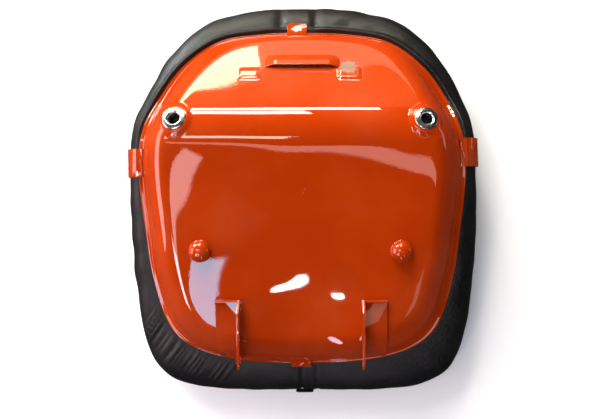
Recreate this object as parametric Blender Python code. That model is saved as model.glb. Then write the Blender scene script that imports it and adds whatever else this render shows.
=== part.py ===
# Upholstered pan seat with a low back, lying on its cushion. Metres. +Z is out of the pan's outer
# face, +Y towards the low back, -Y towards the front edge, +X to the right. The origin is in the
# middle of the footprint, on the surface that the cushion lies on.
import math

import bmesh
import bpy
import numpy as np
from mathutils import Matrix, Vector
from mathutils.bvhtree import BVHTree

# ---- driving dimensions ----
GAP = 0.0003  # between pieces that touch

PAN_WIDTH = 0.388
PAN_LENGTH = 0.404  # seen square on, from the front lip to the back lip
PAN_THICKNESS = 0.0016
LIP_WIDTH = 0.0055  # narrow flat flange all round the pan
SIDE_FLANK = 0.042  # width of the turned-down border at the sides
FRONT_FLANK = 0.040
BACK_FLANK = 0.012
SIDE_DROP = 0.045  # how far the sides turn down
BACK_DROP = 0.006
FLANK_POWER = 2.4  # higher keeps the face flat for longer
BACK_BLEND = 0.100  # length over which the side's drop fades out towards the back
FRONT_BLEND = 0.080
BACK_ANGLE = math.radians(35)
SEAT_ANGLE = math.radians(10)
BEND_RADIUS = 0.058
BEND_FROM_BACK = 0.1312  # crest of the bend, from the back lip

SIDE_OVERHANG = 0.0165  # how far the roll stands out past the lip
FRONT_OVERHANG = 0.039
BACK_OVERHANG = 0.0365
ROLL_DEPTH = 0.062
ROLL_INSET = 0.014  # how far the roll reaches in under the lip
REST_SQUASH = 0.003  # foam flattened by the weight of the seat
FACE_DEPTH = 0.060  # from the pan's outer face to the face one sits on
COVER_THICKNESS = 0.002
WELT_RADIUS = 0.0025
WIRE_RADIUS = 0.0015
BOARD_THICKNESS = 0.003

EYELET_SPACING = 0.285
EYELET_FROM_BACK = 0.1137
EYELET_HOLE = 0.0135
EYELET_FLANGE = 0.027
EYELET_BARREL_WALL = 0.0007
EYELET_SEAT_DISH = 0.0032  # how far the pan falls away under an eyelet's flange
EYELET_SEAT_RISE = 0.0006  # how far the landing stands out of the pan at its middle
WASHER_WIDTH = 0.0245
WASHER_THICKNESS = 0.0008

STUD_WIDTH = 0.0245
STUD_HEIGHT = 0.0135
STUD_SIDE = 0.004  # straight part of its side, under the dome
STUD_SPACING = 0.2321
STUD_FROM_FRONT = 0.1400

EAR_SPACING = 0.142  # clear distance between the two ears
EAR_THICKNESS = 0.003
EAR_HEIGHT = 0.024
EAR_NOSE = 0.011
EAR_SHORT_OF_LIP = 0.001
PIVOT_HOLE = 0.0085
BRACKET_WIDTH = 0.029
BRACKET_LENGTH = 0.0735
BRACKET_FROM_FRONT = 0.0098
BRACKET_UPTURN = 0.004  # turned-up rear end of its plate
BRACKET_STANDOFF = 0.0008  # spot-weld upset under the bracket

HOOD_WIDTH = 0.092
HOOD_LENGTH = 0.024
HOOD_HEIGHT = 0.0065
HOOD_FROM_BACK = 0.0487  # from the back lip to the hood's open edge

TAB_THICKNESS = 0.0014
TAB_CLEARANCE = 0.001
SIDE_TAB_WIDTH = 0.034
END_TAB_WIDTH = 0.024
SEAM_TAB_WIDTH = 0.022
SEAM_TAB_HEIGHT = 0.014
SEAM_TAB_THICKNESS = 0.003

STATIONS_PER_SPAN = 3
FINE_STATIONS_PER_SPAN = 30

# ---- sizes that follow from them ----
SEAM_TAB_STANDOUT = GAP + SEAM_TAB_THICKNESS
TOTAL_LENGTH = PAN_LENGTH + FRONT_OVERHANG + BACK_OVERHANG + SEAM_TAB_STANDOUT
PAN_BACK = TOTAL_LENGTH / 2 - BACK_OVERHANG
PAN_FRONT = PAN_BACK - PAN_LENGTH
PAN_MIDDLE = (PAN_BACK + PAN_FRONT) / 2
ROLL_BACK = PAN_BACK + BACK_OVERHANG
ROLL_FRONT = PAN_FRONT - FRONT_OVERHANG
BEND_Y = PAN_BACK - BEND_FROM_BACK
BEND_START = -BEND_RADIUS * math.sin(SEAT_ANGLE)
BEND_END = BEND_RADIUS * math.sin(BACK_ANGLE)
RIM_HEIGHT = ROLL_DEPTH - REST_SQUASH
BARREL_RADIUS = EYELET_HOLE / 2 + EYELET_BARREL_WALL
EYELET_SEAT_DEPTH = EYELET_SEAT_DISH + PAN_THICKNESS
LIP_UNDERSIDE = PAN_THICKNESS + 2 * GAP
FOAM_CLEARANCE = 0.001 + (PAN_THICKNESS + BOARD_THICKNESS) / math.cos(BACK_ANGLE) + 3 * GAP
BOARD_CLEARANCE = PAN_THICKNESS / math.cos(BACK_ANGLE) + 2 * GAP

# Right half of each outline, back middle to front middle, as shares of its half width and length.
PAN_OUTLINE = [
    (0, 1), (0.25, 0.993), (0.53, 0.94), (0.758, 0.773), (0.897, 0.57), (0.98, 0.35), (1, 0.126),
    (0.973, -0.195), (0.937, -0.477), (0.845, -0.763), (0.675, -0.909), (0.387, -0.983), (0, -1),
]
ROLL_OUTLINE = [
    (0, 1), (0.294, 0.985), (0.579, 0.911), (0.795, 0.727), (0.926, 0.507), (0.986, 0.309),
    (1, 0.106), (1.006, -0.161), (0.992, -0.444), (0.933, -0.761), (0.788, -0.934),
    (0.5, -0.994), (0, -1),
]


def clear_scene():
    for thing in list(bpy.data.objects):
        bpy.data.objects.remove(thing, do_unlink=True)


# ---- outlines and heights ----
def smoothstep(x):
    x = np.clip(x, 0, 1)
    return x * x * (3 - 2 * x)


def closed_curve(half, half_width, back, front, per_span):
    """A smooth closed curve through the half outline's points and their mirror images."""
    right = np.array(half) * (half_width, (back - front) / 2) + (0, (back + front) / 2)
    loop = np.vstack([right, right[-2:0:-1] * (-1, 1)])
    before, after, later = np.roll(loop, 1, 0), np.roll(loop, -1, 0), np.roll(loop, -2, 0)
    s = (np.arange(per_span) / per_span)[None, :, None]
    a, b, c, d = (points[:, None, :] for points in (before, loop, after, later))
    curve = b + (c - a) * s / 2 + (2 * a - 5 * b + 4 * c - d) * s**2 / 2
    return (curve + (3 * b - a - 3 * c + d) * s**3 / 2).reshape(-1, 2)


def spine(y):
    """Height of the pan's outer face on its centre line, from the crest of its bend."""
    t = np.asarray(y, float) - BEND_Y
    arc = np.sqrt(np.maximum(BEND_RADIUS**2 - t**2, 0)) - BEND_RADIUS
    seat = -BEND_RADIUS * (1 - math.cos(SEAT_ANGLE)) + (t - BEND_START) * math.tan(SEAT_ANGLE)
    back = -BEND_RADIUS * (1 - math.cos(BACK_ANGLE)) - (t - BEND_END) * math.tan(BACK_ANGLE)
    return np.where(t < BEND_START, seat, np.where(t > BEND_END, back, arc))


CREST = RIM_HEIGHT + BACK_DROP - float(spine(PAN_BACK))
FRONT_DROP = CREST + float(spine(PAN_FRONT)) - RIM_HEIGHT


def drop(y):
    """How far the pan turns down at the lip, by the lip's place along the pan."""
    behind = smoothstep((PAN_BACK - y) / BACK_BLEND)
    ahead = smoothstep((y - PAN_FRONT) / FRONT_BLEND)
    return FRONT_DROP + (SIDE_DROP - FRONT_DROP) * ahead + (BACK_DROP - SIDE_DROP) * (1 - behind)


def rim_height(y):
    return CREST + spine(y) - drop(y)


def outlines(per_span):
    """The lip's, the flat face's and the roll's outlines, station by station."""
    lip = closed_curve(PAN_OUTLINE, PAN_WIDTH / 2, PAN_BACK, PAN_FRONT, per_span)
    face_back, face_front = PAN_BACK - BACK_FLANK, PAN_FRONT + FRONT_FLANK
    along = (lip[:, 1] - PAN_MIDDLE) / (PAN_LENGTH / 2)
    reach = np.where(along < 0, PAN_MIDDLE - face_front, face_back - PAN_MIDDLE)
    face = np.column_stack([lip[:, 0] * (1 - 2 * SIDE_FLANK / PAN_WIDTH), PAN_MIDDLE + along * reach])
    roll = closed_curve(ROLL_OUTLINE, PAN_WIDTH / 2 + SIDE_OVERHANG, ROLL_BACK, ROLL_FRONT, per_span)
    return lip, face, roll


LIP, FACE, ROLL = outlines(STATIONS_PER_SPAN)
LIP_FINE, _, ROLL_FINE = outlines(FINE_STATIONS_PER_SPAN)


def inward(outline):
    """The horizontal direction square to an outline, pointing in, at each station."""
    run = np.roll(outline, -1, 0) - np.roll(outline, 1, 0)
    square = np.column_stack([run[:, 1], -run[:, 0]])
    return square / np.linalg.norm(square, axis=1)[:, None]


def inset(distance):
    return LIP + inward(LIP) * distance


# ---- making objects ----
def material(name, color, roughness, metallic=0.0):
    made = bpy.data.materials.new(name)
    made.use_nodes = True
    shader = made.node_tree.nodes["Principled BSDF"]
    shader.inputs["Base Color"].default_value = (*color, 1)
    shader.inputs["Roughness"].default_value = roughness
    shader.inputs["Metallic"].default_value = metallic
    made.diffuse_color = (*color, 1)
    return made


FINISHES = {
    "enamel": ((0.56, 0.085, 0.012), 0.22),
    "vinyl": ((0.012, 0.012, 0.014), 0.45),
    "plated": ((0.82, 0.82, 0.84), 0.12, 1.0),
    "foam": ((0.75, 0.66, 0.42), 0.9),
    "board": ((0.22, 0.13, 0.07), 0.8),
    "wire": ((0.45, 0.45, 0.47), 0.35, 1.0),
}


def add(name, mesh, finish, smooth=True):
    """An object of this mesh with its own material."""
    thing = bpy.data.objects.new(name, mesh)
    bpy.context.scene.collection.objects.link(thing)
    mesh.materials.append(material(name + "_" + finish, *FINISHES[finish]))
    if smooth and isinstance(mesh, bpy.types.Mesh):
        mesh.shade_smooth()
        mesh.set_sharp_from_angle(angle=math.radians(35))
    return thing


def helper(name, mesh):
    """A cutter or a joined-in lump: it shapes another object and is no piece itself."""
    thing = bpy.data.objects.new(name, mesh)
    bpy.context.scene.collection.objects.link(thing)
    thing.hide_render = True
    thing.display_type = "WIRE"
    return thing


def boolean(thing, other, operation):
    step = thing.modifiers.new(operation.lower() + "_" + other.name, "BOOLEAN")
    step.operation = operation
    step.solver = "EXACT"
    step.object = other


def mesh_of(bm, name):
    bmesh.ops.recalc_face_normals(bm, faces=bm.faces)
    mesh = bpy.data.meshes.new(name)
    bm.to_mesh(mesh)
    bm.free()
    return mesh


def ring_of(bm, plane, heights):
    return [bm.verts.new((*point, z)) for point, z in zip(plane, heights)]


def bridge(bm, first, second):
    """Triangles between two rings, cut the same way in every body, so that neighbours stay parallel."""
    count = len(first)
    for i in range(count):
        j = (i + 1) % count
        bm.faces.new((first[i], first[j], second[j]))
        bm.faces.new((first[i], second[j], second[i]))


def cap(bm, ring, pole):
    for i in range(len(ring)):
        bm.faces.new((ring[i], ring[(i + 1) % len(ring)], pole))


def lathe(name, profile, closed):
    """Spins a profile of (radius, height) points about Z. An open one starts and ends on the axis."""
    bm = bmesh.new()
    verts = [bm.verts.new((radius, 0, height)) for radius, height in profile]
    edges = [bm.edges.new(pair) for pair in zip(verts, verts[1:])]
    if closed:
        edges.append(bm.edges.new((verts[-1], verts[0])))
    bmesh.ops.spin(
        bm, geom=verts + edges, cent=(0, 0, 0), axis=(0, 0, 1), angle=math.tau, steps=24,
        use_merge=True, use_duplicate=False,
    )
    bmesh.ops.remove_doubles(bm, verts=bm.verts, dist=1e-6)
    return mesh_of(bm, name)


def prism(name, outline, depth):
    """A flat outline of 3-D points pushed along depth."""
    bm = bmesh.new()
    face = bm.faces.new([bm.verts.new(point) for point in outline])
    pushed = bmesh.ops.extrude_face_region(bm, geom=[face])
    moved = [v for v in pushed["geom"] if isinstance(v, bmesh.types.BMVert)]
    bmesh.ops.translate(bm, verts=moved, vec=depth)
    return mesh_of(bm, name)


def block(name, low, high):
    """A box between two corners."""
    corners = [(low[0], low[1]), (high[0], low[1]), (high[0], high[1]), (low[0], high[1])]
    return prism(name, [(x, y, low[2]) for x, y in corners], (0, 0, high[2] - low[2]))


# ---- the pan ----
def pan_rings():
    """Rings of the pan's outer face from its lip inwards, and the middle point."""
    rim = rim_height(LIP[:, 1])
    foot = inset(LIP_WIDTH)
    rings = [(LIP, rim), (foot, rim)]
    full_drop = drop(LIP[:, 1])
    for share in (0.08, 0.18, 0.32, 0.48, 0.7, 1):
        plane = foot + (FACE - foot) * share
        down = full_drop * (1 - share) ** FLANK_POWER
        # the lip's height is reached exactly at the foot, whatever the spine does between
        level = CREST + spine(plane[:, 1])
        start = (rim - (CREST + spine(foot[:, 1]) - full_drop)) * (1 - share)
        rings.append((plane, level - down + start))
    middle = np.array((0, PAN_MIDDLE))
    for share in (0.1, 0.2, 0.3, 0.4, 0.5, 0.6, 0.7, 0.8, 0.9):
        plane = FACE + (middle - FACE) * share
        rings.append((plane, CREST + spine(plane[:, 1])))
    return rings, Vector((0, PAN_MIDDLE, CREST + float(spine(PAN_MIDDLE))))


def pan_skin():
    bm = bmesh.new()
    rings, middle = pan_rings()
    loops = [ring_of(bm, plane, heights) for plane, heights in rings]
    for first, second in zip(loops, loops[1:]):
        bridge(bm, first, second)
    cap(bm, loops[-1], bm.verts.new(middle))
    bmesh.ops.recalc_face_normals(bm, faces=bm.faces)
    if sum(face.normal.z for face in bm.faces) < 0:
        bmesh.ops.reverse_faces(bm, faces=bm.faces)
    mesh = bpy.data.meshes.new("seat_pan")
    bm.to_mesh(mesh)
    bm.free()
    return mesh


def surface_of(mesh):
    points = [v.co.copy() for v in mesh.vertices]
    return BVHTree.FromPolygons(points, [tuple(p.vertices) for p in mesh.polygons])


def on_surface(tree, x, y):
    """The surface's point above or below (x, y)."""
    hit = tree.ray_cast(Vector((x, y, 1)), Vector((0, 0, -1)))[0]
    return hit if hit else Vector((x, y, float(rim_height(y))))


def frame_on(tree, x, y, reach):
    """A frame that stands on the surface at (x, y): Z is its normal, measured over reach."""
    across = on_surface(tree, x + reach, y) - on_surface(tree, x - reach, y)
    along = on_surface(tree, x, y + reach) - on_surface(tree, x, y - reach)
    normal = across.cross(along).normalized()
    side = (Vector((1, 0, 0)) - normal * normal.x).normalized()
    turn = Matrix((side, normal.cross(side), normal)).transposed().to_4x4()
    return Matrix.Translation(on_surface(tree, x, y)) @ turn


def hood_outline(wall):
    """Side view of the louvre's hood, open at its front edge; a cavity when wall isn't 0."""
    below = -3 * PAN_THICKNESS if wall else -PAN_THICKNESS / 2
    front = -2 * wall
    return [
        (front, below),
        (front, HOOD_HEIGHT - wall),
        (HOOD_LENGTH * 0.3, HOOD_HEIGHT - wall),
        (HOOD_LENGTH - 2 * wall, -wall),
        (HOOD_LENGTH - 2 * wall, below),
    ]


def hood_body(name, wall, tree):
    """The hood or its cavity, standing on the low back."""
    half = HOOD_WIDTH / 2 - wall
    place = frame_on(tree, 0, PAN_BACK - HOOD_FROM_BACK, HOOD_LENGTH / 4)
    points = [Vector((-half, y, z)) for y, z in hood_outline(wall)]
    mesh = prism(name, points, (2 * half, 0, 0))
    bm = bmesh.new()
    bm.from_mesh(mesh)
    top = [v for v in bm.verts if v.co.z > 0]
    ends = [e for e in bm.edges if all(v in top for v in e.verts) and abs(e.calc_length() - 2 * half) > 1e-4]
    bmesh.ops.bevel(
        bm, geom=ends, offset=HOOD_HEIGHT * 0.6, segments=3, affect="EDGES", profile=0.5,
        clamp_overlap=True,
    )
    bm.to_mesh(mesh)
    bm.free()
    thing = helper(name, mesh)
    thing.matrix_world = place
    return thing


def eyelet_place(tree, side):
    place = frame_on(tree, side * EYELET_SPACING / 2, PAN_BACK - EYELET_FROM_BACK, EYELET_FLANGE / 2)
    return place @ Matrix.Translation((0, 0, EYELET_SEAT_RISE))


def make_pan():
    skin = pan_skin()
    tree = surface_of(skin)
    pan = add("seat_pan", skin, "enamel")
    wall = pan.modifiers.new("wall", "SOLIDIFY")
    wall.thickness = PAN_THICKNESS
    wall.offset = -1
    wall.use_even_offset = True
    boolean(pan, hood_body("hood", 0, tree), "UNION")
    boolean(pan, hood_body("hood_cavity", PAN_THICKNESS, tree), "DIFFERENCE")
    for side, word in ((-1, "left"), (1, "right")):
        place = eyelet_place(tree, side)
        landing = lathe(
            word + "_eyelet_landing",
            [(0, 0), (EYELET_FLANGE / 2 + 0.002, 0), (EYELET_FLANGE / 2 + 0.002, -EYELET_SEAT_DEPTH),
             (0, -EYELET_SEAT_DEPTH)],
            False,
        )
        landing = helper(word + "_eyelet_landing", landing)
        landing.matrix_world = place
        boolean(pan, landing, "UNION")
        radius = BARREL_RADIUS + GAP
        drill = lathe(word + "_eyelet_drill", [(0, 0.01), (radius, 0.01), (radius, -0.02), (0, -0.02)], False)
        drill = helper(word + "_eyelet_drill", drill)
        drill.matrix_world = place
        boolean(pan, drill, "DIFFERENCE")
    return tree


# ---- what is fixed to the pan ----
def make_eyelets(tree):
    hole, flange = EYELET_HOLE / 2, EYELET_FLANGE / 2
    washer_top = -EYELET_SEAT_DEPTH - GAP
    washer_foot = washer_top - WASHER_THICKNESS
    clinch = BARREL_RADIUS + 0.0016
    profile = [
        (hole, washer_foot - GAP - 0.0008),
        (clinch, washer_foot - GAP - 0.0006),
        (clinch, washer_foot - GAP),
        (BARREL_RADIUS, washer_foot - GAP),
        (BARREL_RADIUS, GAP),
        (flange - 0.0004, GAP),
        (flange, 0.0008),
        (flange - 0.0008, 0.0015),
        (hole + 0.0038, 0.0024),
        (hole + 0.0016, 0.0023),
        (hole + 0.0004, 0.0015),
        (hole, 0.0004),
    ]
    for side, word in ((-1, "left"), (1, "right")):
        place = eyelet_place(tree, side)
        eyelet = add(word + "_eyelet", lathe(word + "_eyelet", profile, True), "plated")
        eyelet.matrix_world = place
        inner = BARREL_RADIUS + GAP
        ring = [
            (inner, washer_foot), (WASHER_WIDTH / 2, washer_foot), (WASHER_WIDTH / 2, washer_top),
            (inner, washer_top),
        ]
        washer = add(word + "_eyelet_washer", lathe(word + "_eyelet_washer", ring, True), "plated")
        washer.matrix_world = place


def make_studs(tree):
    radius = STUD_WIDTH / 2
    turns = [math.radians(degrees) for degrees in (90, 72, 54, 36, 18, 0)]
    crown = STUD_HEIGHT - STUD_SIDE
    dome = [(radius * math.cos(a), 2 * GAP + STUD_SIDE + crown * math.sin(a)) for a in turns]
    dome[0] = (0, dome[0][1])
    profile = dome + [(radius, 2 * GAP), (0, 2 * GAP)]
    for side, word in ((-1, "left"), (1, "right")):
        stud = add(word + "_rest_stud", lathe(word + "_rest_stud", profile, False), "enamel")
        stud.matrix_world = frame_on(tree, side * STUD_SPACING / 2, PAN_FRONT + STUD_FROM_FRONT, radius)


def bracket_foot(tree, inner, side):
    """Stations (y, height) of the bracket's underside, following the pan down over its front."""
    ys = np.linspace(PAN_FRONT + BRACKET_FROM_FRONT + BRACKET_LENGTH, PAN_FRONT + BRACKET_FROM_FRONT, 22)
    spots = [inner, inner + BRACKET_WIDTH / 2, inner + BRACKET_WIDTH]
    return [
        (y, max(on_surface(tree, side * x, y).z for x in spots) + BRACKET_STANDOFF) for y in ys
    ]


def make_brackets(tree):
    inner = EAR_SPACING / 2
    for side, word in ((-1, "left"), (1, "right")):
        foot = bracket_foot(tree, inner, side)
        name = word + "_hinge_bracket"
        rear_y, rear_z = foot[0]
        top = [(y, z + EAR_THICKNESS) for y, z in reversed(foot[1:])]
        end = rear_z + EAR_THICKNESS
        top += [
            (rear_y - EAR_THICKNESS, end), (rear_y - EAR_THICKNESS, end + BRACKET_UPTURN),
            (rear_y, end + BRACKET_UPTURN),
        ]
        base_outline = [(side * (inner + 0.0005), y, z) for y, z in foot + top]
        bracket = add(name, prism(name, base_outline, (side * (BRACKET_WIDTH - 0.0005), 0, 0)), "enamel")
        nose_y = PAN_FRONT + EAR_SHORT_OF_LIP + EAR_NOSE
        nose_z = float(CREST + spine(nose_y)) + EAR_HEIGHT - EAR_NOSE
        turns = np.radians(np.linspace(-70, 80, 9))
        nose = [(nose_y - EAR_NOSE * math.cos(a), nose_z + EAR_NOSE * math.sin(a)) for a in turns]
        ear = [(y, z + EAR_THICKNESS / 2) for y, z in foot] + nose
        ear += [(rear_y - 0.014, rear_z + EAR_HEIGHT * 0.8), (rear_y, rear_z + EAR_HEIGHT * 0.3)]
        plate = [(side * inner, y, z) for y, z in ear]
        ear_thing = helper(word + "_ear", prism(word + "_ear", plate, (side * EAR_THICKNESS, 0, 0)))
        boolean(bracket, ear_thing, "UNION")
        drill = lathe(
            word + "_pivot_drill",
            [(0, 0.01), (PIVOT_HOLE / 2, 0.01), (PIVOT_HOLE / 2, -0.01), (0, -0.01)], False,
        )
        drill = helper(word + "_pivot_drill", drill)
        across = Matrix.Translation((side * (inner + EAR_THICKNESS / 2), nose_y, nose_z))
        drill.matrix_world = across @ Matrix.Rotation(math.radians(90), 4, "Y")
        boolean(bracket, drill, "DIFFERENCE")


def roll_section(overhang):
    """The roll's section as (distance out from the lip, depth below the lip), top to bottom."""
    half = (ROLL_DEPTH - LIP_UNDERSIDE) / 2
    points = [(-ROLL_INSET, LIP_UNDERSIDE + 0.006), (-ROLL_INSET + 0.006, LIP_UNDERSIDE)]
    for degrees in (90, 68, 48, 28, 9, -10, -30, -50, -70, -90):
        a = math.radians(degrees)
        points.append((overhang * math.cos(a), LIP_UNDERSIDE + half * (1 - math.sin(a))))
    return points + [(-0.005, ROLL_DEPTH - 0.0025), (-ROLL_INSET, ROLL_DEPTH - 0.013)]


def tab(tree, name, near, width, reach_in, last_turn):
    """A strip from the pan, over its lip and round the roll, at the lip's point nearest to near."""
    count = len(LIP_FINE)
    i = int(np.argmin(np.linalg.norm(LIP_FINE - near, axis=1)))
    before, after = (i - 5) % count, (i + 5) % count
    run = ROLL_FINE[after] - ROLL_FINE[before]
    rise = float(rim_height(LIP_FINE[after][1]) - rim_height(LIP_FINE[before][1]))
    side = Vector((*run, rise)).normalized()
    out = Vector((-side.y, side.x, 0)).normalized()
    overhang = float(Vector((*(ROLL_FINE[i] - LIP_FINE[i]), 0)).dot(out))
    lip = Vector((*LIP_FINE[i], float(rim_height(LIP_FINE[i][1]))))
    half = (ROLL_DEPTH - LIP_UNDERSIDE) / 2
    path = []
    for back in np.linspace(reach_in, LIP_WIDTH, 4):
        spot = lip - out * float(back)
        levels = []
        for share in (-0.5, -0.25, 0, 0.25, 0.5):
            step = side * (share * width)
            levels.append(on_surface(tree, spot.x + step.x, spot.y + step.y).z - step.z)
        path.append(Vector((spot.x, spot.y, max(levels) + TAB_CLEARANCE)))
    path.append(lip + out * 0.001 + Vector((0, 0, TAB_CLEARANCE)))
    for degrees in np.arange(84, last_turn - 1, -12):
        a = math.radians(degrees)
        run = (overhang + TAB_CLEARANCE) * math.cos(a)
        level = -LIP_UNDERSIDE - half + (half + TAB_CLEARANCE) * math.sin(a)
        path.append(lip + out * run + Vector((0, 0, level)))
    bm = bmesh.new()
    rows = [[bm.verts.new(p + side * (width / 2 * k)) for k in (-1, 1)] for p in path]
    for first, second in zip(rows, rows[1:]):
        bm.faces.new((first[0], second[0], second[1], first[1]))
    bmesh.ops.recalc_face_normals(bm, faces=bm.faces)
    if sum(face.normal.z for face in bm.faces) < 0:
        bmesh.ops.reverse_faces(bm, faces=bm.faces)
    mesh = bpy.data.meshes.new(name)
    bm.to_mesh(mesh)
    bm.free()
    strip = add(name, mesh, "enamel")
    wall = strip.modifiers.new("wall", "SOLIDIFY")
    wall.thickness = TAB_THICKNESS
    wall.offset = 1
    wall.use_even_offset = True


def make_tabs(tree):
    half = PAN_WIDTH / 2
    tab(tree, "left_retaining_tab", (-half, PAN_MIDDLE + 0.041), SIDE_TAB_WIDTH, 0.0065, -12)
    tab(tree, "right_retaining_tab", (half, PAN_MIDDLE + 0.053), SIDE_TAB_WIDTH, 0.0065, -12)
    tab(tree, "rear_retaining_tab", (-0.008, PAN_BACK), END_TAB_WIDTH, 0.007, 72)
    tab(tree, "front_retaining_tab", (-0.0025, PAN_FRONT), END_TAB_WIDTH, 0.012, 84)


# ---- the cushion ----
def make_roll():
    bm = bmesh.new()
    rim = rim_height(LIP[:, 1])
    out = ROLL - LIP
    overhang = np.linalg.norm(out, axis=1)
    loops = []
    for row in zip(*[roll_section(o) for o in overhang]):
        run = np.array([point[0] for point in row])
        depth = np.array([point[1] for point in row])
        toward = np.where((run < 0)[:, None], -inward(LIP), out / overhang[:, None])
        plane = LIP + toward * run[:, None]
        loops.append(ring_of(bm, plane, np.maximum(rim - depth, 0)))
    for first, second in zip(loops, loops[1:] + loops[:1]):
        bridge(bm, first, second)
    add("edge_roll", mesh_of(bm, "edge_roll"), "vinyl")


def ring_curve(name, distance, depth, radius, finish):
    """A round cord or wire all the way round under the lip."""
    curve = bpy.data.curves.new(name, "CURVE")
    curve.dimensions = "3D"
    curve.bevel_depth = radius
    curve.bevel_resolution = 1
    curve.use_fill_caps = True
    plane = inset(distance)
    heights = np.maximum(rim_height(LIP[:, 1]) - depth, radius + GAP)
    spline = curve.splines.new("POLY")
    spline.points.add(len(plane) - 1)
    for point, (x, y), z in zip(spline.points, plane, heights):
        point.co = (x, y, z, 1)
    spline.use_cyclic_u = True
    add(name, curve, finish)


def cushion_rings(tree, clearance):
    """Rings (plane, top height, face height) from the roll's inner wall to the middle."""
    edge = inset(ROLL_INSET + 0.0007)
    middle = np.array((0, PAN_MIDDLE))
    seam = rim_height(LIP[:, 1]) - ROLL_DEPTH + 0.0115
    rings = []
    for share in (0, 0.12, 0.26, 0.42, 0.66, 1):
        plane = edge + (middle - edge) * share
        top = np.array([on_surface(tree, x, y).z for x, y in plane]) - clearance
        deep = CREST + spine(plane[:, 1]) - FACE_DEPTH
        face = seam + (deep - seam) * smoothstep(share / 0.4)
        rings.append((plane, top, face))
    return rings


def lens(name, rings, top_of, foot_of):
    """A closed body between two heights over the cushion's rings; the last ring is its middle point."""
    bm = bmesh.new()
    shells = []
    for height_of in (top_of, foot_of):
        loops = [ring_of(bm, ring[0], height_of(ring)) for ring in rings[:-1]]
        for first, second in zip(loops, loops[1:]):
            bridge(bm, first, second)
        x, y = rings[-1][0][0]
        cap(bm, loops[-1], bm.verts.new((x, y, height_of(rings[-1])[0])))
        shells.append(loops[0])
    bridge(bm, *shells)
    return mesh_of(bm, name)


def split_at_fold(shape, front_name, back_name, finish):
    """Two pieces of one shape, parted where the seat meets the low back."""
    far = PAN_WIDTH + PAN_LENGTH
    keep_front = block(front_name + "_cutter", (-far, BEND_Y - GAP, -far), (far, far, far))
    keep_back = block(back_name + "_cutter", (-far, -far, -far), (far, BEND_Y + GAP, far))
    for name, cutter in ((front_name, keep_front), (back_name, keep_back)):
        piece = add(name, shape.copy(), finish)
        boolean(piece, helper(cutter.name, cutter), "DIFFERENCE")


def make_padding(tree):
    rings = cushion_rings(tree, FOAM_CLEARANCE)
    foam = lens("foam", rings, lambda ring: ring[1], lambda ring: ring[2] + COVER_THICKNESS + 2 * GAP)
    split_at_fold(foam, "seat_foam", "back_foam", "foam")
    skin = lens("skin", rings, lambda ring: ring[2] + COVER_THICKNESS, lambda ring: ring[2])
    split_at_fold(skin, "seat_cover", "back_cover", "vinyl")


def board(name, front, back, front_half, back_half):
    """A stiff board just under the pan's flat face, with rounded corners."""
    corners = [(-front_half, front), (front_half, front), (back_half, back), (-back_half, back)]
    bm = bmesh.new()
    face = bm.faces.new([bm.verts.new((x, y, 0)) for x, y in corners])
    bmesh.ops.bevel(bm, geom=list(face.verts), offset=0.02, segments=4, affect="VERTICES", profile=0.5)
    for v in bm.verts:
        v.co.z = CREST + float(spine(v.co.y)) - BOARD_CLEARANCE
    pushed = bmesh.ops.extrude_face_region(bm, geom=list(bm.faces))
    moved = [v for v in pushed["geom"] if isinstance(v, bmesh.types.BMVert)]
    bmesh.ops.translate(bm, verts=moved, vec=(0, 0, -BOARD_THICKNESS))
    add(name, mesh_of(bm, name), "board")


def make_boards():
    half = PAN_WIDTH / 2 - SIDE_FLANK
    board("seat_board", PAN_FRONT + FRONT_FLANK + 0.015, BEND_Y + BEND_START - 0.006, 0.58 * half, 0.8 * half)
    board("back_board", BEND_Y + BEND_END + 0.006, PAN_BACK - BACK_FLANK - 0.014, 0.72 * half, 0.42 * half)


def make_seam_tab():
    """The doubled end of the border's seam, on the roll's outermost line at the front."""
    height = rim_height(PAN_FRONT) - (ROLL_DEPTH + LIP_UNDERSIDE) / 2
    low = (-SEAM_TAB_WIDTH / 2, ROLL_FRONT - SEAM_TAB_STANDOUT, height - SEAM_TAB_HEIGHT / 2)
    high = (SEAM_TAB_WIDTH / 2, ROLL_FRONT - GAP, height + SEAM_TAB_HEIGHT / 2)
    piece = add("seam_tab", block("seam_tab", low, high), "vinyl")
    soften = piece.modifiers.new("soften", "BEVEL")
    soften.width = SEAM_TAB_THICKNESS / 4
    soften.segments = 2


def build():
    clear_scene()
    tree = make_pan()
    make_eyelets(tree)
    make_studs(tree)
    make_brackets(tree)
    make_tabs(tree)
    make_roll()
    ring_curve("hem_wire", ROLL_INSET - 0.0015, LIP_UNDERSIDE + 0.0017, WIRE_RADIUS, "wire")
    ring_curve("welt_piping", ROLL_INSET - 0.0024, ROLL_DEPTH - 0.0059, WELT_RADIUS, "vinyl")
    make_padding(tree)
    make_boards()
    make_seam_tab()


build()
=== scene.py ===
import math

import bmesh
import bpy
import numpy as np
from mathutils import Matrix, Vector
from mathutils.bvhtree import BVHTree


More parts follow.
